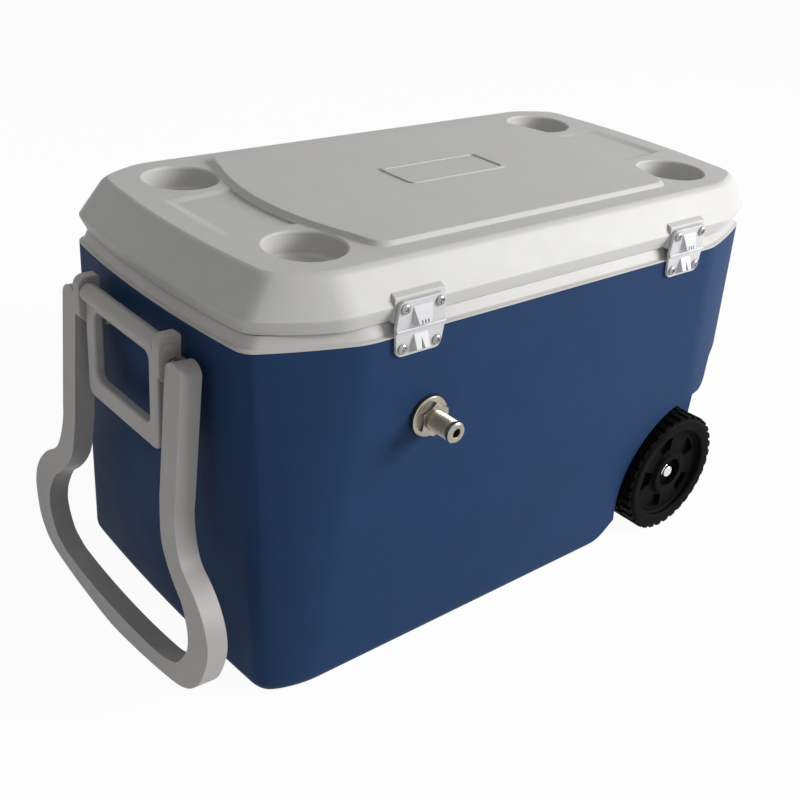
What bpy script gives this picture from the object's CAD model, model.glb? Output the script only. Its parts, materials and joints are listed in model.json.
import bpy
import bmesh
import json
from math import asin, atan2, cos, dist, pi, radians, sin, sqrt, tan
from mathutils import Matrix, Vector


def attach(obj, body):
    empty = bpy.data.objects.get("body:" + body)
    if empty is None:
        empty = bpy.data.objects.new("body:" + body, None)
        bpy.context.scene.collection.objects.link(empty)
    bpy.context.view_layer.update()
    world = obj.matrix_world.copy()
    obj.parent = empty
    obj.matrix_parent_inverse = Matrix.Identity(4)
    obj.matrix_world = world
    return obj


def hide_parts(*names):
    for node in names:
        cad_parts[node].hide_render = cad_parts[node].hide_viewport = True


# A wheeled drink chest turned into a draught-beer cooler. Sizes in the dictionaries are millimetres.

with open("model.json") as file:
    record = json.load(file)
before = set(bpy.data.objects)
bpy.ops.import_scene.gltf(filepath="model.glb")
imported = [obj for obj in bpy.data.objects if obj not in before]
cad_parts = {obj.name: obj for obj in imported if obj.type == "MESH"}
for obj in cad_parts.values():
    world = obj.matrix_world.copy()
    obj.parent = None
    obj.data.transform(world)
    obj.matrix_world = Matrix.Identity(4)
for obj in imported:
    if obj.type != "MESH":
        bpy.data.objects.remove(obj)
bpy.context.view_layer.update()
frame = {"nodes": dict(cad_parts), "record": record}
mm = 0.001
past = 6.0  # how far a cutting tool runs past what it cuts


# View, floor and light

viewpoint = {
    "place": (856.189, 898.301, 823.909), "yaw": -2.3128661, "pitch": -0.4907930, "roll": 0.0922422,
    "lens": 51.208, "sensor": 36, "near": 0.01,
}
studio = {
    "floorSize": 14.0, "floorZ": -0.0004, "floor": "#fbfbfb", "floorGlow": 0.95,
    "fill": 0.20, "backdrop": 1.0, "white": (1, 1, 1, 1),
    "key": {"place": (-2.2, 2.2, 1.7), "size": 1.6, "watts": 128},
    "side": {"place": (2.0, 1.0, 3.1), "size": 2.2, "watts": 15},
    "target": (0.0, 0.0, 0.22),
}


def linear(code):
    parts = [int(code[i:i + 2], 16) / 255 for i in (1, 3, 5)]
    return tuple(p / 12.92 if p <= 0.04045 else ((p + 0.055) / 1.055) ** 2.4 for p in parts) + (1.0,)


def addNode(tree, kind, settings=None, links=None):
    node = tree.nodes.new(kind)
    for name, value in (settings or {}).items():
        if name in node.inputs.keys() or isinstance(name, int):
            node.inputs[name].default_value = value
        else:
            setattr(node, name, value)
    for name, source in (links or {}).items():
        tree.links.new(source, node.inputs[name])
    return node


def directRays(tree, *kinds):
    # 1 for the named kinds of ray, 0 for the rays that light the piece
    rays = addNode(tree, "ShaderNodeLightPath")
    seen = rays.outputs[kinds[0]]
    for kind in kinds[1:]:
        seen = addNode(tree, "ShaderNodeMath", {"operation": "MAXIMUM"}, {0: seen, 1: rays.outputs[kind]}).outputs[0]
    return seen


def clearSelection():
    if bpy.context.object and bpy.context.object.mode != "OBJECT":
        bpy.ops.object.mode_set(mode="OBJECT")
    bpy.ops.object.select_all(action="DESELECT")


def pick(piece):
    clearSelection()
    piece.select_set(True)
    bpy.context.view_layer.objects.active = piece


def setCamera(view):
    yaw, pitch, roll = view["yaw"], view["pitch"], view["roll"]
    ahead = Vector((cos(pitch) * cos(yaw), cos(pitch) * sin(yaw), sin(pitch)))
    right = ahead.cross(Vector((0, 0, 1))).normalized()
    up = right.cross(ahead)
    tiltedRight = right * cos(roll) + up * sin(roll)
    tiltedUp = up * cos(roll) - right * sin(roll)
    turn = Matrix((tiltedRight, tiltedUp, -ahead)).transposed().to_4x4()
    clearSelection()
    bpy.ops.object.camera_add()
    camera = bpy.context.object
    camera.name = "view"
    camera.matrix_world = Matrix.Translation(Vector(view["place"]) * mm) @ turn
    camera.data.lens = view["lens"]
    camera.data.sensor_width = view["sensor"]
    camera.data.clip_start = view["near"]
    bpy.context.scene.camera = camera


def setLights(room):
    for name in ("key", "side"):
        lamp = room[name]
        clearSelection()
        bpy.ops.object.light_add(type="AREA", location=lamp["place"])
        light = bpy.context.object
        light.name = name + "Lamp"
        light.data.energy = lamp["watts"]
        light.data.size = lamp["size"]
        aim = Vector(room["target"]) - Vector(lamp["place"])
        light.rotation_euler = aim.to_track_quat("-Z", "Y").to_euler()
    world = bpy.data.worlds.new("studio")
    bpy.context.scene.world = world
    world.use_nodes = True
    tree = world.node_tree
    tree.nodes.clear()
    seen = directRays(tree, "Is Camera Ray", "Is Glossy Ray", "Is Transmission Ray")
    fill = addNode(tree, "ShaderNodeBackground", {"Color": room["white"], "Strength": room["fill"]})
    back = addNode(tree, "ShaderNodeBackground", {"Color": room["white"], "Strength": room["backdrop"]})
    mixed = addNode(tree, "ShaderNodeMixShader", None, {0: seen, 1: fill.outputs[0], 2: back.outputs[0]})
    addNode(tree, "ShaderNodeOutputWorld", None, {"Surface": mixed.outputs[0]})
    bpy.context.scene.view_settings.view_transform = "Standard"


def layFloor(room):
    clearSelection()
    bpy.ops.mesh.primitive_plane_add(size=room["floorSize"], location=(0, 0, room["floorZ"]))
    floor = bpy.context.object
    floor.name = "floor"
    paper = bpy.data.materials.new("whitePaperSweep")  # matt white paper under and behind
    paper.use_nodes = True
    tree = paper.node_tree
    tree.nodes.clear()
    seen = directRays(tree, "Is Camera Ray", "Is Glossy Ray")
    share = addNode(tree, "ShaderNodeMath", {"operation": "MULTIPLY", 1: room["floorGlow"]}, {0: seen})
    matt = addNode(tree, "ShaderNodeBsdfDiffuse", {"Color": linear(room["floor"])})
    glow = addNode(tree, "ShaderNodeEmission", {"Strength": 1.0})
    mixed = addNode(tree, "ShaderNodeMixShader", None, {0: share.outputs[0], 1: matt.outputs[0], 2: glow.outputs[0]})
    addNode(tree, "ShaderNodeOutputMaterial", None, {"Surface": mixed.outputs[0]})
    floor.data.materials.append(paper)


setCamera(viewpoint)
setLights(studio)
layFloor(studio)
print("view, light and floor set")


# Materials

wear = {
    "softPatch": 60, "smoothPatch": 45, "metalPatch": 12, "low": 0.4, "high": 0.7, "fineGrain": 1.6, "fineShare": 0.6,
    "scuffPatch": 25, "scuffLow": 0.35, "scuffHigh": 0.7, "scuffLess": 0.02, "scuffMore": 0.03, "flowPatch": 9,
}


def noise(tree, place, size, detail, roughness=0.5):
    settings = {"Scale": 1 / (size * mm), "Detail": detail, "Roughness": roughness}
    return addNode(tree, "ShaderNodeTexNoise", settings, {"Vector": place}).outputs["Fac"]


def startMaterial(name, base, other, patch, settings):
    # two tones of one colour in soft patches of the given size in mm
    material = bpy.data.materials.new(name)
    material.use_nodes = True
    material.diffuse_color = linear(base)
    tree = material.node_tree
    tree.nodes.clear()
    shader = addNode(tree, "ShaderNodeBsdfPrincipled", {"Base Color": linear(base), **settings})
    addNode(tree, "ShaderNodeOutputMaterial", None, {"Surface": shader.outputs[0]})
    place = addNode(tree, "ShaderNodeTexCoord").outputs["Object"]
    ramp = addNode(tree, "ShaderNodeValToRGB", None, {"Fac": noise(tree, place, patch, 3.0, 0.55)})
    for stop, position, code in zip(ramp.color_ramp.elements, (wear["low"], wear["high"]), (base, other)):
        stop.position = position
        stop.color = linear(code)
    tree.links.new(ramp.outputs["Color"], shader.inputs["Base Color"])
    return material, tree, shader, place


def addBump(tree, shader, height, depth):
    bump = addNode(tree, "ShaderNodeBump", {"Strength": 1.0, "Distance": depth * mm}, {"Height": height})
    tree.links.new(bump.outputs[0], shader.inputs["Normal"])


def grainedPlastic(name, base, other, grain, depth, rough, sheen=0.35):
    # polyethylene blow-moulded or moulded in a blasted tool: a pebble grain that breaks up the highlights
    settings = {"Roughness": rough, "Specular IOR Level": sheen, "IOR": 1.5}
    material, tree, shader, place = startMaterial(name, base, other, wear["softPatch"], settings)
    pebbles = {"Scale": 1 / (grain * mm), "feature": "SMOOTH_F1", "Smoothness": 0.6}
    cells = addNode(tree, "ShaderNodeTexVoronoi", pebbles, {"Vector": place})
    fine = noise(tree, place, grain / wear["fineGrain"], 2.0)
    height = addNode(tree, "ShaderNodeMath", {"operation": "MULTIPLY_ADD", 1: wear["fineShare"]}, {0: fine, 2: cells.outputs["Distance"]})
    addBump(tree, shader, height.outputs[0], depth)
    spread = {"From Min": wear["scuffLow"], "From Max": wear["scuffHigh"], "To Min": rough - wear["scuffLess"],
        "To Max": rough + wear["scuffMore"]}
    worn = addNode(tree, "ShaderNodeMapRange", spread, {"Value": noise(tree, place, wear["scuffPatch"], 4.0)})
    tree.links.new(worn.outputs[0], shader.inputs["Roughness"])
    return material


def smoothPlastic(name, base, other, rough, sheen=0.5, ripple=0.03):
    # moulded in a polished tool: even sheen with a faint sink and flow ripple
    settings = {"Roughness": rough, "Specular IOR Level": sheen, "IOR": 1.49}
    material, tree, shader, place = startMaterial(name, base, other, wear["smoothPatch"], settings)
    addBump(tree, shader, noise(tree, place, wear["flowPatch"], 3.0), ripple)
    return material


def turnedMetal(name, base, other, rough, ripple, pitch=0.5):
    # lathe-turned or drawn metal with fine tool marks
    material, tree, shader, place = startMaterial(name, base, other, wear["metalPatch"], {"Roughness": rough, "Metallic": 1.0})
    addBump(tree, shader, noise(tree, place, pitch, 2.0), ripple)
    return material


finishes = {  # each with the slot of the part's record that it fills
    "blueShell": (grainedPlastic("bluePolyethylene", "#21395c", "#203759", 1.6, 0.10, 0.6, 0.08), "blue_shell"),
    "lidGrey": (grainedPlastic("greyPolyethylene", "#c2c1bf", "#c0bfbd", 1.6, 0.09, 0.5, 0.35), "lid_grey"),
    "handleGrey": (grainedPlastic("greyPolypropylene", "#a9a6a4", "#a3a09d", 1.1, 0.03, 0.42, 0.4), "handle_grey"),
    "liner": (smoothPlastic("whiteTubLiner", "#e6e4e0", "#e0deda", 0.35), "liner"),
    "band": (grainedPlastic("paleRimPlastic", "#bdbbb8", "#b7b5b2", 1.2, 0.03, 0.45, 0.35), "liner"),
    "hingeWhite": (smoothPlastic("whitePolypropylene", "#c4c4c6", "#bfbfc2", 0.38), "hinge_white"),
    "wheelBlack": (grainedPlastic("blackMouldedPolyethylene", "#0a0a0b", "#080809", 1.0, 0.03, 0.62, 0.04), "wheel_black"),
    "steel": (turnedMetal("turnedStainlessSteel", "#aea79b", "#a29b8e", 0.28, 0.01), "stainless"),
    "tubeSteel": (turnedMetal("drawnStainlessTube", "#c8c7c3", "#bdbcb8", 0.2, 0.005, 1.5), "stainless"),
    "zincSteel": (turnedMetal("nickelPlatedScrewSteel", "#a3a3a2", "#989897", 0.24, 0.004, 2.0), "chrome"),
    "chrome": (turnedMetal("polishedChromePlate", "#e2e4e6", "#dadcdf", 0.08, 0.002, 3.0), "chrome"),
    "sealRubber": (smoothPlastic("blackSealRubber", "#1b1b1c", "#151516", 0.75, 0.3), "seal_rubber"),
    "knobBlack": (smoothPlastic("glossyBlackKnob", "#0e0e10", "#121214", 0.14, 0.5, 0.01), "knob_black"),
    "hose": (smoothPlastic("milkyVinylHose", "#d9dedb", "#cfd5d2", 0.3), "hose_clear"),
    "foam": (grainedPlastic("creamUrethaneFoam", "#e8e0c6", "#ddd3b4", 2.2, 0.2, 0.9, 0.2), "foam"),
}
print("materials made")


# Ways of making a piece

making = {"merge": 0.000001, "solidMerge": 0.00001, "smooth": 32, "flatWeight": 100}


def polar(radius, angle):
    return radius * cos(angle), radius * sin(angle)


def arc(x, y, radius, start, sweep, steps):
    return [(x + a, y + b) for a, b in (polar(radius, start + sweep * i / steps) for i in range(steps + 1))]


def matrixTo(at, axis="z"):
    # local Z laid along the named axis of the object
    quarters, about = {"z": (0, "X"), "y": (-1, "X"), "-y": (1, "X"), "x": (1, "Y")}[axis]
    return Matrix.Translation(Vector(at)) @ Matrix.Rotation(quarters * pi / 2, 4, about)


def raiseRings(name, rings, closeEnds=True):
    # a circle is laid on the first outline and extruded on through the others
    clearSelection()
    bpy.ops.mesh.primitive_circle_add(vertices=len(rings[0]), radius=0.05)
    piece = bpy.context.object
    piece.name = name
    bpy.ops.object.mode_set(mode="EDIT")
    bpy.ops.mesh.select_all(action="SELECT")
    mesh = bmesh.from_edit_mesh(piece.data)
    order = mesh.verts.layers.int.new("order")
    mesh.verts.ensure_lookup_table()
    for i, vertex in enumerate(mesh.verts):
        vertex[order] = i
        vertex.co = Vector(rings[0][i]) * mm
    bmesh.update_edit_mesh(piece.data)
    if closeEnds:
        bpy.ops.mesh.edge_face_add()
        bpy.ops.mesh.select_all(action="SELECT")
    for ring in rings[1:]:
        bpy.ops.mesh.extrude_region_move()
        mesh = bmesh.from_edit_mesh(piece.data)
        order = mesh.verts.layers.int["order"]
        for vertex in mesh.verts:
            if vertex.select:
                vertex.co = Vector(ring[vertex[order]]) * mm
        bmesh.update_edit_mesh(piece.data)
    bpy.ops.mesh.select_all(action="SELECT")
    bpy.ops.mesh.remove_doubles(threshold=making["merge"])
    bpy.ops.mesh.normals_make_consistent(inside=False)
    bpy.ops.object.mode_set(mode="OBJECT")
    return piece


def turnPiece(name, profile, matrix, sides=48):
    # profile lists (radius, height) along the axis; it starts and ends on the axis or closes on itself
    turns = [2 * pi * i / sides for i in range(sides)]
    rings = [[matrix @ Vector((*polar(radius, angle), height)) for angle in turns] for radius, height in profile]
    return raiseRings(name, rings, closeEnds=False)


def rodPiece(name, radius, low, high, matrix, sides=40):
    return turnPiece(name, [(0, low), (radius, low), (radius, high), (0, high)], matrix, sides)


def sideRod(name, radius, x, z, low, high, sides=40):
    return rodPiece(name, radius, low, high, matrixTo((x, 0, z), "y"), sides)


def platePiece(name, outline, low, high, matrix):
    # an outline given a thickness from low to high
    return raiseRings(name, [[matrix @ Vector((u, v, h)) for u, v in outline] for h in (low, high)])


def sidePlate(name, outline, low, high, centre=0.0):
    # an outline in x and z given a thickness along y
    return raiseRings(name, [[(centre + x, y, z) for x, z in outline] for y in (low, high)])


def longPiece(name, section, low, high):
    # a section in y and z given a length along x
    return raiseRings(name, [[(x, y, z) for y, z in section] for x in (low, high)])


def applyChange(piece, kind, **settings):
    pick(piece)
    change = piece.modifiers.new("change", kind)
    for name, value in settings.items():
        setattr(change, name, value)
    bpy.ops.object.modifier_apply(modifier=change.name)


def changeBy(piece, tool, way="DIFFERENCE"):
    applyChange(piece, "BOOLEAN", operation=way, solver="EXACT", object=tool)
    bpy.data.objects.remove(tool)
    return piece


def roundEdges(piece, width, segments=2, angle=35):
    applyChange(piece, "BEVEL", width=width * mm, segments=segments, limit_method="ANGLE", angle_limit=radians(angle))


def bodyOf(node):
    for name, nodes in frame["record"]["behaviour"]["bodies"].items():
        if node in nodes:
            return name


def finishPiece(piece, finish, node, width=0.0, segments=2, angle=35):
    # sharp edges rounded to the width, faces shaded smooth but flat between them, then material and body
    if width > 0:
        roundEdges(piece, width, segments, angle)
    pick(piece)
    bpy.ops.object.shade_smooth_by_angle(angle=radians(making["smooth"]))
    applyChange(piece, "WEIGHTED_NORMAL", keep_sharp=True, weight=making["flatWeight"])
    material, slot = finishes[finish]
    piece.data.materials.clear()
    piece.data.materials.append(material)
    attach(piece, bodyOf(node))
    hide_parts(node)


def turnedPiece(name, profile, matrix, sides, finish, node):
    finishPiece(turnPiece(name, profile, matrix, sides), finish, node)


def refined(node, width, finish):
    # the solid's own shape with merged corners, flat faces made whole and its edges rounded
    source = frame["nodes"][node]
    piece = source.copy()
    piece.data = source.data.copy()
    piece.parent = None
    piece.matrix_world = source.matrix_world.copy()
    piece.name = node + "Piece"
    bpy.context.collection.objects.link(piece)
    piece.hide_render = False
    pick(piece)
    bpy.ops.object.transform_apply(location=True, rotation=True, scale=True)
    bpy.ops.object.mode_set(mode="EDIT")
    bpy.ops.mesh.select_all(action="SELECT")
    bpy.ops.mesh.remove_doubles(threshold=making["solidMerge"])
    bpy.ops.mesh.dissolve_limited(angle_limit=radians(1))
    bpy.ops.mesh.select_all(action="DESELECT")
    bpy.ops.object.mode_set(mode="OBJECT")
    finishPiece(piece, finish, node, width, 2, 30)


def roundedCorners(points, radii, steps=6):
    ring = []
    for i, (corner, radius) in enumerate(zip(points, radii)):
        here = Vector(corner)
        if radius == 0:
            ring.append(here)
            continue
        back = (Vector(points[i - 1]) - here).normalized()
        ahead = (Vector(points[(i + 1) % len(points)]) - here).normalized()
        half = back.angle(ahead) / 2
        centre = here + (back + ahead).normalized() * (radius / sin(half))
        start = here + back * (radius / tan(half)) - centre
        end = here + ahead * (radius / tan(half)) - centre
        ring += [centre + start.lerp(end, k / steps).normalized() * radius for k in range(steps + 1)]
    return ring


def bezier(points, t):
    while len(points) > 1:
        points = [a.lerp(b, t) for a, b in zip(points, points[1:])]
    return points[0]


def tubePiece(name, points, radius, bore=0.0, sides=3):
    # a round tube swept along points, with its bore cut where one is given
    clearSelection()
    bpy.ops.curve.primitive_nurbs_path_add()
    line = bpy.context.object
    line.name = name
    line.data.splines.clear()
    spline = line.data.splines.new("POLY")
    spline.points.add(len(points) - 1)
    for spot, point in zip(spline.points, points):
        spot.co = (*(Vector(point) * mm), 1.0)
    line.data.dimensions = "3D"
    line.data.twist_mode = "MINIMUM"
    line.data.bevel_depth = radius * mm
    line.data.bevel_resolution = sides
    line.data.use_fill_caps = True
    bpy.ops.object.convert(target="MESH")
    piece = bpy.context.object
    if bore:
        first, last = points[0], points[-1]
        inner = [first + (first - points[1]).normalized()] + points[1:-1] + [last + (last - points[-2]).normalized()]
        changeBy(piece, tubePiece("tubeBore", inner, bore, 0, sides))
    return piece


# Outlines shared by the chest and its lid

outlining = {"endSteps": 40, "cornerSteps": 80, "cornerShare": 0.7, "sideRun": 60, "ease": 11.0, "easeSteps": 5, "spanSteps": 7}


def cornerCurve(plan, inset):
    # a quarter of the plan, from the middle of the bowed end to the long side, as close points
    cornerX = plan["cornerX"] - inset * outlining["cornerShare"]
    cornerY = plan["cornerY"] - inset * outlining["cornerShare"]
    vertexX = plan["vertexX"] - inset
    half = plan["halfWidth"] - inset
    steps = outlining["endSteps"]
    end = [(vertexX + plan["bow"] * (1 - (i / steps) ** 2), (half - cornerY) * i / steps) for i in range(steps)]
    corner = []
    for i in range(outlining["cornerSteps"] + 1):
        angle = pi / 2 * i / outlining["cornerSteps"]
        x = vertexX - cornerX + cornerX * abs(cos(angle)) ** (2 / plan["power"])
        corner.append((x, half - cornerY + cornerY * sin(angle) ** (2 / plan["power"])))
    return end, corner, [(corner[-1][0] - outlining["sideRun"], half)]


def planOutline(plan, z, inset=0.0):
    # the two creases of each corner are eased over a length on either side
    end, corner, side = cornerCurve(plan, inset)
    mirror = [(x, -y) for x, y in end[:0:-1]]
    points = mirror + end + corner + side
    lengths = [0.0]
    for a, b in zip(points, points[1:]):
        lengths.append(lengths[-1] + dist(a, b))
    start = lengths[len(mirror)]
    first = lengths[len(mirror) + len(end)]
    second = lengths[len(mirror) + len(end) + len(corner) - 1]
    ease, near, steps = outlining["ease"], outlining["easeSteps"], outlining["spanSteps"]

    def at(length):
        k = 0
        while k < len(points) - 2 and lengths[k + 1] < length:
            k += 1
        t = (length - lengths[k]) / (lengths[k + 1] - lengths[k])
        return tuple(a + (b - a) * t for a, b in zip(points[k], points[k + 1]))

    def eased(length):
        reach = min(ease, length - start) if length < first - ease else ease
        spots = [at(length + reach * k / near) for k in range(-near, near + 1)]
        return tuple(sum(p[axis] for p in spots) / len(spots) for axis in (0, 1))

    marks = (start, first - ease, first + ease, second - ease, second + ease)
    stations = [low + (high - low) * k / steps for low, high in zip(marks, marks[1:]) for k in range(steps)]
    quarter = [eased(length) for length in stations + [marks[-1]]]
    back = quarter[::-1]
    ring = quarter + [(-x, y) for x, y in back] + [(-x, -y) for x, y in quarter[1:]] + [(x, -y) for x, y in back[:-1]]
    return [(x, y, z) for x, y in ring]


def planRings(name, plan, steps):
    return raiseRings(name, [planOutline(plan, z, inset) for z, inset in steps])


def blended(a, b, t):
    return {key: a[key] + (b[key] - a[key]) * t for key in a}


def roundedBox(left, right, half, radius, z, steps=10, middle=0.0):
    ring = []
    corners = [(right - radius, half - radius), (left + radius, half - radius), (left + radius, radius - half),
        (right - radius, radius - half)]
    for quadrant, (x, y) in enumerate(corners):
        ring += [(u, v, z) for u, v in arc(x, middle + y, radius, pi / 2 * quadrant, pi / 2, steps)]
    return ring


# Chest body

chest = {
    "height": 383.2, "wall": 3.0, "footRadius": 20.0, "footSteps": 6, "levelShares": (0.12, 0.22, 0.35, 0.5, 0.65, 0.82), "edge": 1.4,
    "top": {"vertexX": 365.0, "halfWidth": 197.2, "cornerX": 108.8, "cornerY": 41.0, "bow": 10.2, "power": 1.12},
    "foot": {"vertexX": 352.0, "halfWidth": 196.6, "cornerX": 56.0, "cornerY": 22.0, "bow": 5.6, "power": 1.5},
    "pocket": {"centreX": -292.5, "centreZ": 56.5, "radius": 123.8, "fillet": 20.0, "filletX": -303.5, "toeReach": 44.0, "toeRise": 34.0,
               "endX": -381.2, "innerY": 152.2, "outerY": 217.0, "arcSteps": 28, "filletSteps": 8},
    "axleSlot": 6.75, "slotSteps": 12, "wheelX": -258.0, "axleZ": 80.0,
}
holeDepth = {"inner": 120, "outer": 215}
wallHoles = [  # x, z, radius and side of each hole through the walls
    {"x": 175.0, "z": 288.0, "radius": 11.5, "side": 1},
    {"x": 0.0, "z": 300.0, "radius": 11.5, "side": -1},
    {"x": 235.0, "z": 62.0, "radius": 10.5, "side": -1},
]


def toSide(side, low, high):
    return (low, high) if side > 0 else (-high, -low)


def chestBlock(name, inset, topZ):
    # levels are (z, inset) pairs: the rounded foot, the wall and the rim
    radius = chest["footRadius"]
    levels = arc(radius, radius, inset - radius, 0, pi / 2, chest["footSteps"])
    levels += [(chest["height"] * share, inset) for share in chest["levelShares"]] + [(topZ, inset)]
    return raiseRings(name, [planOutline(blended(chest["foot"], chest["top"], z / chest["height"]), z, shrink) for z, shrink in levels])


def pocketTool(grow, side):
    # a slanted toe, the arc over the wheel and an S-shaped run out to the end wall
    p = chest["pocket"]
    radius = p["radius"] + grow
    fillet = p["fillet"] - grow
    roofZ = p["centreZ"] + sqrt(radius ** 2 - (p["filletX"] - p["centreX"]) ** 2)
    startAngle = asin((p["toeRise"] - p["centreZ"]) / radius)
    toeX = p["centreX"] + radius * cos(startAngle) + p["toeReach"]
    points = [(toeX + past * p["toeReach"] / p["toeRise"], -past)]
    sweep = atan2(roofZ - p["centreZ"], p["filletX"] - p["centreX"]) - startAngle
    points += arc(p["centreX"], p["centreZ"], radius, startAngle, sweep, p["arcSteps"])
    points += arc(p["filletX"], roofZ + fillet, fillet, -pi / 2, -pi / 2, p["filletSteps"])[1:]
    run = p["fillet"] + grow
    points += [(p["filletX"] - fillet - past, roofZ + fillet + run), (p["endX"], roofZ + fillet + run + p["fillet"]), (p["endX"], -past)]
    return sidePlate("pocketTool", points, *toSide(side, p["innerY"] - grow, p["outerY"]))


def axleSlotTool(grow):
    half = chest["axleSlot"] + grow
    reach = chest["pocket"]["innerY"] + past
    outline = [(half, -past)] + arc(0, chest["axleZ"], half, 0, pi, chest["slotSteps"]) + [(-half, -past)]
    return sidePlate("slotTool", outline, -reach, reach, chest["wheelX"])


def openHoles(piece):
    for hole in wallHoles:
        changeBy(piece, sideRod("holeTool", hole["radius"], hole["x"], hole["z"],
            *toSide(hole["side"], holeDepth["inner"], holeDepth["outer"])))


def makeChest():
    shell = chestBlock("outerShell", 0, chest["height"])
    hollow = chestBlock("hollow", chest["wall"], chest["height"] + past)
    for side in (1, -1):
        changeBy(hollow, pocketTool(chest["wall"], side))
    changeBy(hollow, axleSlotTool(chest["wall"]))
    changeBy(shell, hollow)
    for side in (1, -1):
        changeBy(shell, pocketTool(0, side))
    changeBy(shell, axleSlotTool(0))
    openHoles(shell)
    finishPiece(shell, "blueShell", "outer_shell", chest["edge"], 2, 50)


makeChest()
print("chest body made")


# Liner: the tub and the pale band that it folds over the top of the chest

tub = {
    "flangeTop": 397.8, "waist": 386.5, "bead": 385.3, "foot": 383.5, "topInset": 8.5, "waistInset": 4.0, "wall": 2.5, "bandWall": 3.0,
    "topLength": 320.0, "topWidth": 155.0, "floorLength": 300.0, "floorWidth": 140.0, "floor": 48.0, "corner": 38.0,
    "floorRadius": 12.0, "floorSteps": 5, "shelf": 206.3, "shelfEdge": -156.0, "ledge": 1.0, "edge": 0.7,
    "lipDrop": 2.0, "lipIn": 0.4, "lipOver": 1.2, "under": 0.3,
}


def tubHalves(z, more):
    share = (z - tub["floor"]) / (tub["flangeTop"] - tub["floor"])
    return [tub["floor" + way] + (tub["top" + way] - tub["floor" + way]) * share + more for way in ("Length", "Width")]


def tubRing(z, grow, inset=0.0, shelved=False):
    length, width = tubHalves(z, grow - inset - (tub["ledge"] if shelved else 0))
    return roundedBox(tub["shelfEdge"] - grow + inset if shelved else -length, length, width, tub["corner"] + grow - inset, z)


def tubBlock(grow, topZ):
    radius = tub["floorRadius"]
    levels = arc(tub["floor"] - grow + radius, radius, -radius, 0, pi / 2, tub["floorSteps"]) + [(tub["shelf"] + past, 0)]
    lower = raiseRings("tubDeep", [tubRing(z, grow, inset, True) for z, inset in levels])
    return changeBy(lower, raiseRings("tubWide", [tubRing(z, grow) for z in (tub["shelf"] - grow, topZ)]), "UNION")


def makeLiner():
    t = tub
    top = t["flangeTop"]
    outside = [(t["foot"], 0), (t["bead"], 0), (t["waist"], t["waistInset"])]
    outside += [(top - t["lipDrop"], t["topInset"] - t["lipIn"]), (top, t["topInset"] + t["lipOver"])]
    inside = [(t["foot"] - past, t["bandWall"] + t["waistInset"]), (top - t["wall"], t["bandWall"] + t["topInset"])]
    band = planRings("innerLiner", chest["top"], outside)
    changeBy(band, planRings("bandHollow", chest["top"], inside))
    changeBy(band, tubBlock(t["wall"], top - t["under"]), "UNION")
    changeBy(band, tubBlock(0, top + past))
    openHoles(band)
    finishPiece(band, "band", "inner_liner", t["edge"], 2, 40)


makeLiner()
print("liner made")


# Lid with its raised panel, cup holders, trays, emblem place, hinge pads and front lip

lid = {
    "footZ": 398.2, "creaseZ": 414.0, "topZ": 451.4, "wall": 3.0, "topRound": 5.0, "creaseRound": 2.5, "edge": 0.6,
    "foot": {"vertexX": 358.9, "halfWidth": 190.6, "cornerX": 85.9, "cornerY": 43.3, "bow": 11.0, "power": 1.22},
    "crease": {"vertexX": 364.5, "halfWidth": 196.1, "cornerX": 87.7, "cornerY": 42.0, "bow": 11.0, "power": 1.22},
    "top": {"vertexX": 339.0, "halfWidth": 174.7, "cornerX": 56.9, "cornerY": 28.4, "bow": 11.0, "power": 1.22},
    "footRings": ((0, 0.8), (0.8, 0)), "creaseShares": ((-1, 0.75), (-0.4, 0.3), (0.1, 0.25)), "slopeShares": ((0.6, 0.35), (1.4, 0.2)),
    "levelShares": (0.2, 0.4, 0.6, 0.8), "roundFrom": radians(30), "roundOver": radians(60), "roundSteps": 5,
    "panel": {"vertexX": 217.0, "halfWidth": 148.5, "cornerX": 14.0, "cornerY": 27.0, "bow": 25.0, "power": 2.0},
    "panelRise": 5.1, "panelSlope": 4.0, "panelFoot": ((-2.5, 0), (-0.3, 0), (0.6, 2.2)),
    "panelTop": ((-1.6, 0.6), (-0.5, 1.7), (0, 3.4)),
    "emblem": {"length": 143.0, "width": 57.0, "x": -3.0, "y": -2.0, "rise": 1.4, "border": 4.0, "radius": 7.0,
        "rootDepth": 2.0, "cutDepth": 3.0, "steps": 8},
    "cup": {"x": 268.3, "y": 109.9, "radius": 41.3, "depth": 25.0, "draft": 2.5, "floorRound": 4.0, "mouthIn": 2.2,
        "mouthRound": 3.0, "mouthReach": 2.6,
            "mouthOut": 0.6, "mouthLift": 0.05, "lift": 8.0},
    "tray": {"inner": 218.3, "outer": 321.0, "innerHalf": 61.2, "outerHalf": 53.0, "depth": 2.6, "sideSlope": 6.0, "outerSlope": 12.0,
             "floorShares": ((1.1, 0), (0.94, 0.06), (0.8, 0.3)), "topShares": ((0.15, -0.35), (0.0, -0.08), (-0.2, 0), (-0.6, 4))},
    "pad": {"x": 199.0, "half": 30.0, "face": 196.6, "top": 423.7, "rise": 2.0, "slope": 7.2, "back": 168.7, "round": 3.0,
        "roundAngles": (0.4, 0.8, 1.2)},
    "lip": {"half": 65.0, "reach": 9.0, "height": 12.0, "root": 6.0, "footIn": 1.2, "footRise": 1.6, "faceIn": 0.8, "face": 2.0},
    "skin": {"inset": 0.3, "height": 3.0, "plugGap": 4.0, "plugWall": 14.0,
        "plugRings": ((-8, 2), (-7, 0.4), (-5.5, 0), (0.3, 0)), "plugFoot": -14.0,
             "padGap": 0.3, "padBack": 168.4, "padFace": 197.0, "padHeight": 9.0, "edge": 0.5},
}
eighths = [pi / 8 * k for k in (1, 2, 3)]
flat = matrixTo((0, 0, 0))


def slopeOutline(z, inset):
    return planOutline(blended(lid["crease"], lid["top"], (z - lid["creaseZ"]) / (lid["topZ"] - lid["creaseZ"])), z, inset)


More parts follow.
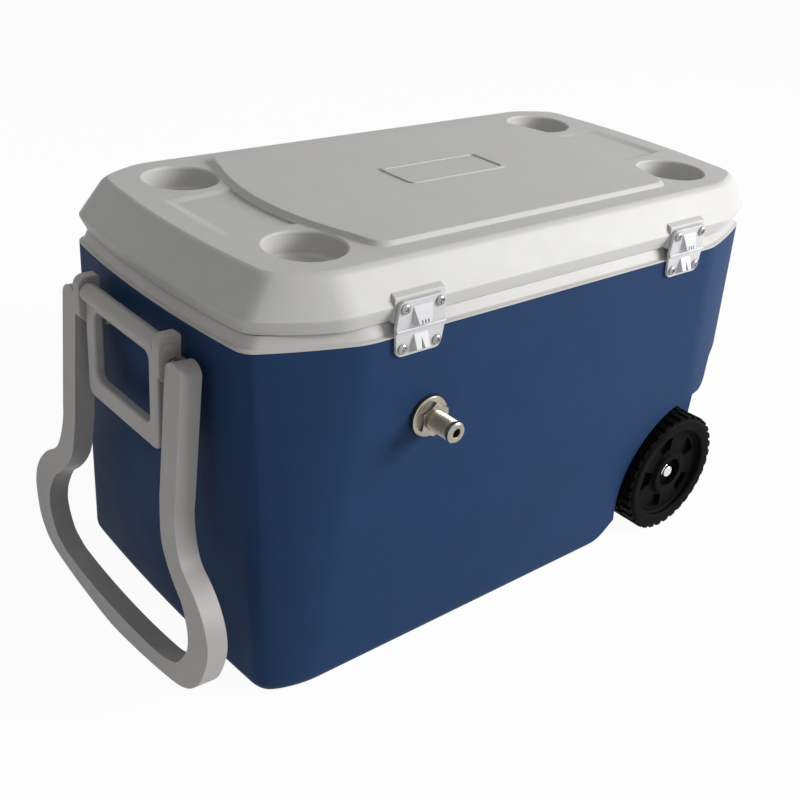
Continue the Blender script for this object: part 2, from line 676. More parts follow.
def lidBlock():
    bend, crease, top, around = lid["creaseRound"], lid["creaseZ"], lid["topZ"], lid["topRound"]
    rings = [planOutline(lid["foot"], lid["footZ"] + rise, inset) for rise, inset in lid["footRings"]]
    rings += [planOutline(lid["crease"], crease + bend * share, inset) for share, inset in lid["creaseShares"]]
    rings += [slopeOutline(crease + bend * share, inset) for share, inset in lid["slopeShares"]]
    rings += [slopeOutline(crease + (top - around - crease) * share, 0) for share in lid["levelShares"]]
    start = lid["roundFrom"]
    for i in range(lid["roundSteps"] + 1):
        angle = start + lid["roundOver"] * i / lid["roundSteps"]
        drop = around * (1 - sin(angle)) / (1 - sin(start))
        rings.append(slopeOutline(top - drop, around * (1 - cos(angle) / cos(start))))
    return raiseRings("lidShell", rings)


def cupTool(sx, sy):
    c = lid["cup"]
    top = lid["topZ"]
    floor, wall, bend = top - c["depth"], c["radius"] - c["draft"], c["floorRound"]
    mouth, over = c["radius"] - c["mouthIn"], c["radius"] + c["mouthOut"]
    profile = [(0, floor), (wall - bend, floor)] + [(wall - bend + bend * sin(a), floor + bend * (1 - cos(a))) for a in eighths]
    profile += [(wall, floor + bend), (mouth, top - c["mouthRound"])]
    profile += [(mouth + c["mouthReach"] * (1 - cos(a)), top - c["mouthRound"] * (1 - sin(a))) for a in eighths]
    profile += [(over, top + c["mouthLift"]), (over, top + c["lift"]), (0, top + c["lift"])]
    return turnPiece("cupTool", profile, matrixTo((sx * c["x"], sy * c["y"], 0)), 72)


def cupHousing(sx, sy, grow):
    c = lid["cup"]
    floor = lid["topZ"] - c["depth"] - grow
    profile = [(0, floor), (c["radius"] - c["draft"] + grow, floor), (c["radius"] + grow, lid["topZ"]), (0, lid["topZ"])]
    return turnPiece("cupHousing", profile, matrixTo((sx * c["x"], sy * c["y"], 0)), 48)


def trayTool(side):
    # the floor runs under the panel's edge; the other three sides slope up
    t = lid["tray"]
    rings = []
    for base, shares in ((lid["topZ"] - t["depth"], t["floorShares"]), (lid["topZ"], t["topShares"])):
        for share, rise in shares:
            inner, outer = t["innerHalf"] - t["sideSlope"] * share, t["outerHalf"] - t["sideSlope"] * share
            far = t["outer"] - t["outerSlope"] * share
            rings.append([(side * x, y, base + rise) for x,
                y in ((t["inner"], -inner), (far, -outer), (far, outer), (t["inner"], inner))])
    return raiseRings("trayTool", rings)


def panelBlock():
    base, top, slope = lid["topZ"], lid["topZ"] + lid["panelRise"], lid["panelSlope"]
    steps = [(base + rise, inset - slope) for rise, inset in lid["panelFoot"]] + [(top + rise, inset) for rise, inset in lid["panelTop"]]
    return planRings("panel", lid["panel"], steps)


def emblemBlock(inset, low, high):
    e = lid["emblem"]
    half, width = e["length"] / 2 - inset, e["width"] / 2 - inset
    return raiseRings("emblem", [roundedBox(e["x"] - half, e["x"] + half, width, e["radius"] - inset, z, e["steps"],
        e["y"]) for z in (low, high)])


def padBlock(side):
    p = lid["pad"]
    top, bend, foot = p["top"] + p["rise"], p["round"], lid["footZ"]
    section = [(p["face"], foot), (p["face"], p["top"] - bend)]
    section += [(p["face"] - bend * (1 - cos(a)), p["top"] - bend * (1 - sin(a))) for a in p["roundAngles"]]
    section += [(p["face"] - p["slope"], top), (p["back"], top), (p["back"], foot)]
    return longPiece("pad", section, side * p["x"] - p["half"], side * p["x"] + p["half"])


def lipBlock():
    p = lid["lip"]
    foot, third, top = lid["footZ"], lid["footZ"] + p["height"] / 3, lid["footZ"] + p["height"]
    outer = lid["foot"]["halfWidth"] + p["reach"]
    inner, middle = lid["foot"]["halfWidth"] - p["root"], outer - p["reach"] / 2
    section = [(inner, foot), (middle, foot), (outer - p["footIn"], foot + p["footRise"]), (outer, third),
        (outer - p["faceIn"], third + p["face"]),
               (middle, top), (inner, top)]
    return longPiece("lip", [(-y, z) for y, z in section], -p["half"], p["half"])


def makeLid():
    shell = lidBlock()
    corners = [(sx, sy) for sx in (1, -1) for sy in (1, -1)]
    for side in (1, -1):
        changeBy(shell, trayTool(side))
    changeBy(shell, panelBlock(), "UNION")
    base, e = lid["topZ"] + lid["panelRise"], lid["emblem"]
    border = emblemBlock(0, base - e["rootDepth"], base + e["rise"])
    changeBy(border, emblemBlock(e["border"], base - e["cutDepth"], base + past))
    changeBy(shell, border, "UNION")
    for side in (1, -1):
        changeBy(shell, padBlock(side), "UNION")
    changeBy(shell, lipBlock(), "UNION")
    wall = lid["wall"]
    low, middle = planOutline(lid["foot"], lid["footZ"] - past, wall), planOutline(lid["crease"], lid["creaseZ"], wall)
    hollow = raiseRings("lidHollow", [low, middle, slopeOutline(lid["topZ"] - wall, wall)])
    for sx, sy in corners:
        changeBy(hollow, cupHousing(sx, sy, wall))
    for side in (1, -1):
        changeBy(hollow, padBlock(side))
    changeBy(shell, hollow)
    for sx, sy in corners:
        changeBy(shell, cupTool(sx, sy))
    finishPiece(shell, "lidGrey", "lid_shell", lid["edge"], 2, 28)


def makeLidLiner():
    # the inner skin and the ring that plugs the tub
    s, foot = lid["skin"], lid["footZ"]
    inset = lid["wall"] + s["inset"]
    low = blended(lid["foot"], lid["crease"], s["height"] / (lid["creaseZ"] - foot))
    skin = raiseRings("lidLiner", [planOutline(lid["foot"], foot, inset), planOutline(low, foot + s["height"], inset)])

    def plugRing(z, inner):
        length, width = tubHalves(z, -s["plugGap"] - inner)
        return roundedBox(-length, length, width, tub["corner"] - inner, z)

    plug = raiseRings("plug", [plugRing(foot + rise, inner) for rise, inner in s["plugRings"]])
    changeBy(plug, raiseRings("plugHollow", [plugRing(z, s["plugWall"]) for z in (foot + s["plugFoot"], foot)]))
    changeBy(skin, plug, "UNION")
    for side in (1, -1):
        near, far = (side * lid["pad"]["x"] + way * (lid["pad"]["half"] + s["padGap"]) for way in (-1, 1))
        ring = [(near, s["padBack"]), (far, s["padBack"]), (far, s["padFace"]), (near, s["padFace"])]
        changeBy(skin, platePiece("padRoom", ring, foot - past, foot + s["padHeight"], flat))
    finishPiece(skin, "liner", "lid_liner", s["edge"], 2, 35)


makeLid()
makeLidLiner()
print("lid made")


# Hinges: leaves with rounded edges, the fold between them, stops, and pan-head screws with a cross recess

hinge = {
    "x": 199.0, "axisY": 201.0, "axisZ": 390.6, "waist": 30.5, "end": 27.5, "split": 0.3, "fold": 1.9, "foldHalf": 30.2, "edge": 0.9,
    "stopEdge": 0.5, "notchOut": 12.0, "screwX": 21.0, "screwHole": 2.3, "holeRun": 3.0,
    "lid": {"way": 1, "back": 196.9, "far": 419.7, "corner": 6.0, "screwZ": 412.6, "foldRoom": 0.0, "foldEnd": 0.0, "foldChange": "UNION",
            "screwTurns": {"handle_end": (0.8, 0.15), "wheel_end": (0.2, 0.95)},
            "stop": (((12, -0.5, 395.9), (12, -0.5, 413.2)), ((7.5, 6.5, 395.9), (11.8, 0.3, 413.0))), "notchIn": 2.2,
            "notches": [[(x - 0.95, 388), (x + 0.95, 388), (x + 0.95, 399.7), (x - 0.95, 399.7)] for x in (-3.75, 0.0, 3.75)]},
    "body": {"way": -1, "back": 197.5, "far": 364.0, "corner": 8.0, "screwZ": 372.6, "foldRoom": 0.25, "foldEnd": 1.0,
        "foldChange": "DIFFERENCE",
             "screwTurns": {"handle_end": (0.35, 1.1), "wheel_end": (1.3, 0.5)},
             "stop": (((11.5, -0.5, 366.5), (9, -0.5, 385.3)), ((8.2, 6.8, 370.8), (8.4, 0.3, 385.0))), "notchIn": 0.3,
             "notches": [[(-4.5, 360), (4.5, 360), (0, 381.5)]]},
    "screw": {"head": 5.2, "height": 3.2, "shaft": 2.0, "length": 12.0, "tip": 1.5, "seat": 0.3, "rim": 0.8, "domeFoot": 1.3,
        "domeShare": 0.98,
              "domeSteps": 7, "slot": 1.15, "slotReach": 3.1, "slotDepth": 1.7, "slotRun": 0.6, "footShare": 0.5, "footReachShare": 0.45},
}
square = ((-1, -1), (1, -1), (1, 1), (-1, 1))


def makeScrew(name, x, z, turn, node):
    c = hinge["screw"]
    place = matrixTo((x, hinge["axisY"], z), "y")
    seat, foot, top = c["seat"], c["domeFoot"], c["height"]
    profile = [(0, -c["length"]), (c["shaft"], c["tip"] - c["length"]), (c["shaft"], seat), (c["head"] - seat, seat),
        (c["head"], c["rim"]), (c["head"], foot)]
    for i in range(1, c["domeSteps"]):
        across, up = polar(1, pi / 2 * i / c["domeSteps"])
        profile.append((c["head"] * c["domeShare"] * across, foot + (top - foot) * up))
    screw = turnPiece(name, profile + [(0, top)], place, 32)
    half, reach = c["slot"], c["slotReach"]
    levels = ((reach * c["footReachShare"], half * c["footShare"], top - c["slotDepth"]), (reach, half, top + c["slotRun"]))
    for quarter in (0, pi / 2):
        spin = place @ Matrix.Rotation(turn + quarter, 4, "Z")
        changeBy(screw, raiseRings("recess", [[spin @ Vector((u * wide, v * deep, h)) for u, v in square] for wide, deep, h in levels]))
    finishPiece(screw, "zincSteel", node)


def makeLeaf(end, side, part):
    h, own = hinge, hinge[part]
    centre, axisY, axisZ = side * h["x"], h["axisY"], h["axisZ"]
    split = axisZ + own["way"] * h["split"]
    corners = [(-h["waist"], split), (h["waist"], split), (h["end"], own["far"]), (-h["end"], own["far"])]
    leaf = sidePlate(part + "Leaf_" + end, roundedCorners(corners, (0, 0, own["corner"], own["corner"])), own["back"], axisY, centre)
    roundEdges(leaf, h["edge"], 3, 50)
    rings = [[(centre + way * half, axisY + out, z) for way, (half, out, z) in ((-1, a), (1, a), (1, b), (-1, b))] for a,
        b in own["stop"]]
    boss = raiseRings("stop", rings)
    roundEdges(boss, h["stopEdge"], 2, 30)
    for notch in own["notches"]:
        changeBy(boss, sidePlate("notch", notch, axisY + own["notchIn"], axisY + h["notchOut"], centre))
    changeBy(leaf, boss, "UNION")
    for way in (-1, 1):
        changeBy(leaf, sideRod("screwHole", h["screwHole"], centre + way * h["screwX"], own["screwZ"],
            own["back"] - h["holeRun"], axisY + h["holeRun"], 24))
    half = h["foldHalf"] + own["foldEnd"]
    changeBy(leaf, rodPiece("fold", h["fold"] + own["foldRoom"], -half, half, matrixTo((centre, axisY, axisZ), "x"), 32),
        own["foldChange"])
    finishPiece(leaf, "hingeWhite", "hinge_" + part + "_leaf_" + end)


for end, side in (("handle_end", 1), ("wheel_end", -1)):
    makeLeaf(end, side, "body")
    makeLeaf(end, side, "lid")
    for i, way in ((1, -1), (2, 1)):
        for part in ("body", "lid"):
            x, own = side * hinge["x"] + way * hinge["screwX"], hinge[part]
            makeScrew("%sScrew_%s_%d" % (part, end, i), x, own["screwZ"], own["screwTurns"][end][i - 1],
                "hinge_%s_screw_%s_%d" % (part, end, i))
print("hinges made")


# Brackets and swing handles on both end walls

bracket = {
    "back": 382.0, "front": 406.0, "foot": 329.0, "top": 380.0, "inner": 72.0, "outer": 84.0, "chamfer": 10.0, "footRound": 3,
    "topRound": 10.0, "backRound": 4.0,
    "edge": 1.3, "neckInner": 60.0, "neckBack": 362.0, "neckFront": 383.5, "neckTop": 347.0, "neckIn": 0.5, "neckEdge": 1.0,
    "wallGap": 0.3, "lastEdge": 0.35,
    "boss": 8.0, "bossRise": 1.5, "bossRoot": 1.0, "axisX": 396.0, "axisZ": 364.5, "journal": 6.35, "journalReach": 80.3,
    "journalRun": 3.0,
    "pinX": 391.0, "pinZ": 349.0, "pin": 6.3, "pinFrom": 75.7,
}
swing = {
    "half": 71.0, "foot": 252.8, "top": 366.3, "back": 389.0, "front": 400.0, "corner": 10.0, "topCorner": 4, "openHalf": 54.0,
    "openFoot": 275.0, "openTop": 351.0,
    "openCorner": 10.0, "edge": 3.0, "edgeSteps": 4, "barIn": 0.2, "bar": ((8.25, 0), (9.35, 0.4), (9.75, 1.5)), "journal": 6.0,
    "journalReach": 80.0, "lastEdge": 0.8,
}


def makeBracket(end, side, node):
    b = bracket
    inner, outer, foot = b["inner"], b["outer"], b["foot"]

    def rod(radius, x, z, low, high):
        return sideRod("rod", radius, end * x, z, *toSide(side, low, high))

    def plate(name, outline, low, high, edge, segments):
        piece = sidePlate(name, [(end * x, z) for x, z in outline], *toSide(side, low, high))
        roundEdges(piece, edge, segments, 50)
        return piece

    cheek = [(b["back"], foot), (b["front"] - b["chamfer"], foot), (b["front"], foot + b["chamfer"]), (b["front"], b["top"]),
        (b["back"], b["top"])]
    piece = plate(node + "Piece", roundedCorners(cheek, (0, b["footRound"], b["footRound"], b["topRound"], b["backRound"])),
        inner, outer, b["edge"], 3)
    low = foot + b["neckIn"]
    neck = [(b["neckBack"], low), (b["neckFront"], low), (b["neckFront"], b["neckTop"]), (b["neckBack"], b["neckTop"])]
    block = plate("neck", neck, b["neckInner"], outer - b["neckIn"], b["neckEdge"], 2)
    changeBy(block, chestBlock("wallRoom", -b["wallGap"], chest["height"]))
    changeBy(piece, block, "UNION")
    changeBy(piece, rod(b["boss"], b["axisX"], b["axisZ"], outer - b["bossRoot"], outer + b["bossRise"]), "UNION")
    changeBy(piece, rod(b["journal"], b["axisX"], b["axisZ"], inner - b["journalRun"], b["journalReach"]))
    changeBy(piece, rod(b["pin"], b["pinX"], b["pinZ"], b["pinFrom"], outer + past))
    finishPiece(piece, "handleGrey", node, b["lastEdge"], 2, 55)


def swingLoop(end, name):
    # a section with rounded corners carried round the loop, between the opening and the outside
    s = swing
    edge = s["edge"]

    def around(half, foot, top, radii):
        return roundedCorners([(-half, top), (-half, foot), (half, foot), (half, top)], radii)

    outer = around(s["half"], s["foot"], s["top"], (s["topCorner"], s["corner"], s["corner"], s["topCorner"]))
    inner = around(s["openHalf"], s["openFoot"], s["openTop"], [s["openCorner"]] * 4)
    section = []
    for outside, fromFace, x, way in ((1, 1, s["back"], 1), (1, 0, s["front"], -1), (0, 1, s["front"], -1), (0, 0, s["back"], 1)):
        for k in range(s["edgeSteps"] + 1):
            angle = pi / 2 * k / s["edgeSteps"]
            near, far = edge * (1 - sin(angle)), edge * (1 - cos(angle))
            section.append((outside, near if fromFace else far, x + way * (far if fromFace else near)))
    rings = []
    for outside, offset, x in section + section[:1]:
        ring = []
        for a, b in zip(inner, outer):
            across = (b - a).normalized() * offset
            point = b - across if outside else a + across
            ring.append((end * x, point.x, point.y))
        rings.append(ring)
    return raiseRings(name, rings, closeEnds=False)


def makeSwingHandle(end, node):
    s = swing
    loop = swingLoop(end, node + "Piece")
    reach = s["half"] - s["barIn"]
    profile = [(0, -reach)] + [(radius, rise - reach) for radius, rise in s["bar"]] + [(radius, reach - rise) for radius,
        rise in s["bar"][::-1]] + [(0, reach)]
    x, z = end * bracket["axisX"], bracket["axisZ"]
    changeBy(loop, turnPiece("bar", profile, matrixTo((x, 0, z), "y"), 48), "UNION")
    changeBy(loop, sideRod("journals", s["journal"], x, z, -s["journalReach"], s["journalReach"]), "UNION")
    finishPiece(loop, "handleGrey", node, s["lastEdge"], 3, 55)


for side, word in ((1, "rear"), (-1, "front")):
    makeBracket(1, side, "handle_bracket_" + word)
    makeBracket(-1, side, "wheel_end_bracket_" + word)
makeSwingHandle(1, "lift_handle")
makeSwingHandle(-1, "wheel_end_lift_handle")


# Tow handle: one moulded loop with broad rounded edges

tow = {
    "frontX": 401.5, "topZ": 361.0, "pivotX": 391.0, "pivotZ": 349.0, "lean": 0.058, "depth": 22.0, "height": 354.0, "span": 185.0,
    "armInner": 88.0, "armOuter": 116.0, "startShare": 0.9, "edge": 4.8, "pin": 6.35, "pinReach": 20.3, "capSteps": 12, "bendSteps": 4,
    "outerShares": [(0.627, 0.441), (0.659, 0.511), (0.719, 0.568), (0.849, 0.616), (0.951, 0.675), (1, 0.737), (0.995, 0.799),
                    (0.93, 0.884), (0.789, 0.943), (0.541, 0.972), (0.27, 0.99), (0, 1)],
    "innerShares": [(0.476, 0.415), (0.503, 0.525), (0.562, 0.585), (0.649, 0.636), (0.735, 0.675), (0.789, 0.726), (0.811, 0.763),
                    (0.805, 0.814), (0.724, 0.878), (0.638, 0.902), (0.541, 0.917), (0.27, 0.93), (0, 0.934)],
}


def towSide(shares, arm):
    # a Catmull-Rom curve from the arm through the points to the loop's middle
    bend = [Vector((arm, -shares[0][1] * tow["height"] * tow["startShare"]))]
    bend += [Vector((across * tow["span"], -down * tow["height"])) for across, down in shares]
    bend.append(Vector((-bend[-2].x, bend[-2].y)))
    smooth = [Vector((arm, tow["pivotZ"] - tow["topZ"]))]
    for i in range(len(bend) - 2):
        p0, p1, p2, p3 = bend[max(i - 1, 0)], bend[i], bend[i + 1], bend[i + 2]
        for t in (k / tow["bendSteps"] for k in range(tow["bendSteps"])):
            smooth.append(0.5 * (2 * p1 + (p2 - p0) * t + (2 * p0 - 5 * p1 + 4 * p2 - p3) * t * t + (3 * p1 - p0 - 3 * p2 + p3) * t ** 3))
    return smooth + [bend[-2]]


def makeTowHandle():
    outer = towSide(tow["outerShares"], tow["armOuter"])
    inner = towSide(tow["innerShares"], tow["armInner"])
    radius = (tow["armOuter"] - tow["armInner"]) / 2
    middle = (tow["armOuter"] + tow["armInner"]) / 2
    drop = tow["topZ"] - tow["pivotZ"]
    angles = [pi * i / tow["capSteps"] for i in range(1, tow["capSteps"])]
    half = inner[::-1] + [Vector((middle - radius * cos(a), drop * sin(a) - drop)) for a in angles] + outer
    outline = half + [Vector((-p.x, p.y)) for p in half][::-1][1:-1]
    turn = Matrix.Translation((tow["frontX"], 0, tow["topZ"])) @ Matrix.Rotation(-tow["lean"], 4, "Y")
    loop = raiseRings("towHandle", [[turn @ Vector((depth, p.x, p.y)) for p in outline] for depth in (-tow["depth"], 0)])
    for side in (1, -1):
        span = toSide(side, tow["armInner"] - past, tow["armInner"] + tow["pinReach"])
        changeBy(loop, sideRod("bore", tow["pin"], tow["pivotX"], tow["pivotZ"], *span))
    finishPiece(loop, "handleGrey", "tow_handle", tow["edge"], 6, 50)


makeTowHandle()
for node in ("tow_handle_pin_rear", "tow_handle_pin_front"):
    refined(node, 0.4, "steel")
print("handles made")


# Wheels: moulded tyre with two rows of lugs, dished face with blind windows, a ring round the hub

wheelForm = {
    "x": -258.0, "z": 80.0, "outerY": 211.0, "lugs": 34, "rows": ((-19.0, -3.0), (-41.0, -24.0)), "rowShift": 0.5,
    "lug": ((0.05, 76.4), (0.12, 79.5), (0.16, 80.0), (0.66, 80.0), (0.70, 79.5), (0.77, 76.4), (0.91, 76.4)), "lugBore": 72.0,
    "lugBack": -60.0, "lugFront": 10.0,
    "windows": 5, "windowInner": 33.0, "windowOuter": 51.0, "windowShare": 0.45, "innerShare": 0.8, "windowFloor": -15.0,
    "windowTop": -5.0,
    "outerSteps": 10, "innerSteps": 6, "hubRecess": 12.0, "edge": 0.6,
    "profile": [(6.7, -12), (6.7, -44), (17, -44), (17, -17), (60, -17), (60, -44), (74, -44), (77, -41), (77, -5),
        (75.6, -2.4), (74, -0.8), (72, 0),
                (62.5, -1), (60.5, -3), (60, -7), (58, -9), (31, -9), (28.8, -6), (28, -4.2), (27.4, -4), (19.6, -4),
                (19, -4.6), (19, -12), (6.7, -12)],
    "cap": [(0, 4.3), (6.7, 4.3), (6.7, 0.3), (8.6, 0.3), (9.0, 0.7), (9.0, 2.2), (8.3, 3.0), (8.0, 4.2)],
    "dome": {"radius": 8.0, "height": 3.6, "foot": 4.2, "angles": (0.3, 0.6, 0.9, 1.2)},
}


def makeWheel(name, side, node, axis):
    w = wheelForm
    place = matrixTo((w["x"], side * w["outerY"], w["z"]), axis)
    wheel = turnPiece(name, w["profile"], place, 96)
    step = 2 * pi / w["lugs"]
    for row, (low, high) in enumerate(w["rows"]):
        points = [polar(radius, (i + turn + row * w["rowShift"]) * step) for i in range(w["lugs"]) for turn, radius in w["lug"]]
        lugs = platePiece("lugs", points, low, high, place)
        changeBy(lugs, rodPiece("lugBore", w["lugBore"], w["lugBack"], w["lugFront"], place, 96))
        changeBy(wheel, lugs, "UNION")
    step = 2 * pi / w["windows"]
    half = step * w["windowShare"] / 2
    for i in range(w["windows"]):
        middle = -i * step if side > 0 else i * step + pi
        outline = []
        for radius, spread, steps in ((w["windowOuter"], half, w["outerSteps"]),
            (w["windowInner"], -half * w["innerShare"], w["innerSteps"])):
            outline += arc(0, 0, radius, middle - spread, 2 * spread, steps)
        changeBy(wheel, platePiece("window", outline, w["windowFloor"], w["windowTop"], place))
    finishPiece(wheel, "wheelBlack", node, w["edge"], 2, 40)


def makeAxleCap(name, side, node, axis):
    w, dome = wheelForm, wheelForm["dome"]
    place = matrixTo((w["x"], side * (w["outerY"] - w["hubRecess"]), w["z"]), axis)
    crown = [(dome["radius"] * cos(a), dome["foot"] + dome["height"] * sin(a)) for a in dome["angles"]]
    turnedPiece(name, w["cap"] + crown + [(0, dome["foot"] + dome["height"])], place, 40, "chrome", node)


makeWheel("rearWheel", 1, "wheel_rear", "y")
makeWheel("frontWheel", -1, "wheel_front", "-y")
makeAxleCap("axleCapRear", 1, "axle_cap_rear", "y")
makeAxleCap("axleCapFront", -1, "axle_cap_front", "-y")
refined("axle", 0.5, "steel")
print("wheels made")


# Inlet: shank with a cut thread, flanged hex nut and sealing washer

inlet = {
    "x": 175.0, "z": 288.0, "wallY": 197.051, "tipY": 240.0, "inside": -66.75, "radius": 11.0, "bore": 4.8, "collar": 5.5,
    "collarRise": 0.4,
    "chamfer": 1.5, "groove": 1.1, "crest": 0.05, "threadStart": 1.0, "mouth": (0.5, 0.6),
    "nut": {"flange": 22.0, "foot": 2.6, "flats": 32.0, "height": 7.0, "gap": 0.3, "sink": 0.5, "top": 5.6,
        "rim": ((0.5, 0), (0, 0.5), (0, 1.3), (0.8, 2.2)), "skirt": 1.6,
            "boreBack": -5.0, "boreFront": 40.0},
    "lockFlats": 34.0, "lockBore": 11.3, "lockBack": 141.1, "lockFront": 149.1, "tailMouth": 140.0,
}
outlet = {"x": 0.0, "y": -197.412, "z": 300.0, "lockBack": -149.7, "lockFront": -141.7, "tailMouth": -140.5}
thread = {"pitch": 1.81, "shares": (0.12, 0.46, 0.66)}
tail = {
    "flats": 27.0, "height": 14.0, "barb": [(0, -27), (4.2, -27), (4.75, -25.2), (4.4, -23.2), (4.75, -21.2), (4.4, -19.2),
        (4.75, -17.2), (4.4, -15.2), (4.75, -13.5), (0, -13.5)],
    "socket": (11.3, -10, 3), "bore": (2.375, -30, 3),
}
hexForm = {"inner": 0.2, "run": 0.1, "outer": 0.4, "slopeShare": 0.5, "boreRun": 3.0, "edge": 0.25}
nutTurn = pi / 6


def threadProfile(radius, groove, low, high):
    # whole turns that end at the high side
    pitch, (flank, crest, back) = thread["pitch"], thread["shares"]
    points = []
    turns = int((high - low) / pitch)
    for i in range(turns):
        at = high - (turns - i) * pitch
        points += [(radius - groove, at), (radius - groove, at + pitch * flank), (radius, at + pitch * crest),
            (radius, at + pitch * back)]
    return points + [(radius - groove, high)]


def hexNut(name, flats, low, high, bore, place):
    f, crown, half = hexForm, flats / sqrt(3), flats / 2
    nut = platePiece(name, arc(0, 0, crown, nutTurn, 2 * pi, 6)[:-1], low, high, place)
    wide, slope = crown + f["outer"], (crown - half) * f["slopeShare"]
    profile = [(0, low - f["run"]), (half - f["inner"], low - f["run"]), (wide, low + slope), (wide, high - slope),
        (half - f["inner"], high + f["run"]), (0, high + f["run"])]
    changeBy(nut, turnPiece("crown", profile, place, 60), "INTERSECT")
    if bore:
        changeBy(nut, rodPiece("nutBore", bore, low - f["boreRun"], high + f["boreRun"], place, 48))
    return nut


def makeInlet():
    d, n = inlet, inlet["nut"]
    place = matrixTo((d["x"], d["wallY"], d["z"]), "y")
    reach, bore, radius = d["tipY"] - d["wallY"], d["bore"], d["radius"]
    profile = [(bore, d["inside"]), (radius - d["groove"], d["inside"])]
    profile += threadProfile(radius - d["crest"], d["groove"], d["inside"] + d["threadStart"], reach - d["collar"])
    profile += [(radius, reach - d["collar"] + d["collarRise"]), (radius, reach - d["chamfer"]), (radius - d["chamfer"], reach),
                (bore + d["mouth"][0], reach), (bore, reach - d["mouth"][1]), (bore, d["inside"])]
    turnedPiece("rearShank", profile, place, 48, "steel", "rear_shank")
    inner, foot, top = radius + n["gap"], n["foot"], n["top"]
    profile = [(inner, foot)] + [(n["flange"] - back, foot + rise) for back,
        rise in n["rim"]] + [(n["flats"] / 2 + n["skirt"], top), (inner, top), (inner, foot)]
    flange = turnPiece("flange", profile, place, 64)
    changeBy(flange, hexNut("hexagon", n["flats"], foot + n["sink"], top + n["height"], 0, place), "UNION")
    changeBy(flange, rodPiece("nutBore", inner, n["boreBack"], n["boreFront"], place, 48))
    flange.name = "rearShankNut"
    finishPiece(flange, "steel", "rear_shank_nut", hexForm["edge"], 2, 30)


def makeNuts():
    for word, d in (("rear_shank_locknut", inlet), ("front_shank_locknut", outlet)):
        nut = hexNut(word + "Piece", inlet["lockFlats"], d["lockBack"], d["lockFront"], inlet["lockBore"],
            matrixTo((d["x"], 0, d["z"]), "y"))
        finishPiece(nut, "steel", word, hexForm["edge"], 2, 40)
    for node, d, axis in (("inlet_tail_nut", inlet, "y"), ("outlet_tail_nut", outlet, "-y")):
        # hex cap with its hose barb; the mouth takes the shank
        place = matrixTo((d["x"], d["tailMouth"], d["z"]), axis)
        nut = hexNut(node + "Piece", tail["flats"], -tail["height"], 0.0, 0, place)
        changeBy(nut, turnPiece("barb", tail["barb"], place, 32), "UNION")
        changeBy(nut, rodPiece("socket", *tail["socket"], place))
        changeBy(nut, rodPiece("bore", *tail["bore"], place, 24))
        finishPiece(nut, "steel", node, hexForm["edge"], 2, 40)


# Tap on the wall opposite the inlet

tap = {
    "pivot": -42.3, "reach": -16.0, "inside": 66.6, "bore": 4.8, "root": 10.2, "crest": 10.9, "groove": 0.9, "threadStart": 0.5,
    "flange": [(11.3, 0), (26.6, 0), (27, -0.4), (27, -2.0), (25.6, -4.2), (22.6, -6.4), (19.2, -7.9), (15.4, -9), (11.3, -9), (11.3, 0)],
    "collar": [(13.3, -9.3), (16.4, -9.3), (17, -9.9), (17, -23.7), (16.4, -24.3), (13.3, -24.3), (13.3, -9.3)],
    "collarRadius": 17.0, "lug": (2.83, -9.6, -24.0),
    "body": [(0, -16.3), (12.4, -16.3), (13, -16.9), (13, -63.1), (12.2, -65.8), (10.2, -67.6), (7.8, -68.3), (0, -68.3)],
    "spoutPath": ((-51.05, 0.0), (-74.0, 18.6), (-89.3, 62.0)), "spout": 8.5, "spoutBore": 5.5, "spoutSteps": 16, "boreFrom": 6,
    "neck": [(0, 0), (11, 0), (11, 15.5), (10.5, 16), (0, 16)], "throat": (8, 1.2, 20), "inletBore": (4.8, -42.3, 3),
    "bonnet": [(6.8, 16.3), (12.1, 16.3), (12.5, 16.7), (12.5, 19.9), (12.1, 21.2), (11.3, 22.0), (10.9, 22.3), (9.9, 22.3), (6.8, 16.3)],
    "ball": 7.0, "ballHeight": 13.0, "lever": [(4.9, 4.9), (4.5, 6.4), (4.5, 38.6), (4.1, 39), (0, 39)],
    "knob": [(4.8, 23.4), (7.6, 23.4), (8.2, 24), (9.1, 28), (10.6, 38), (12.1, 49), (13, 57.9), (12.9, 62.5), (12.1, 66.6), (10.4, 68.6),
             (7.8, 69.3), (4, 69.4), (0, 69.4), (0, 39.3), (4.8, 39.3), (4.8, 23.4)],
}


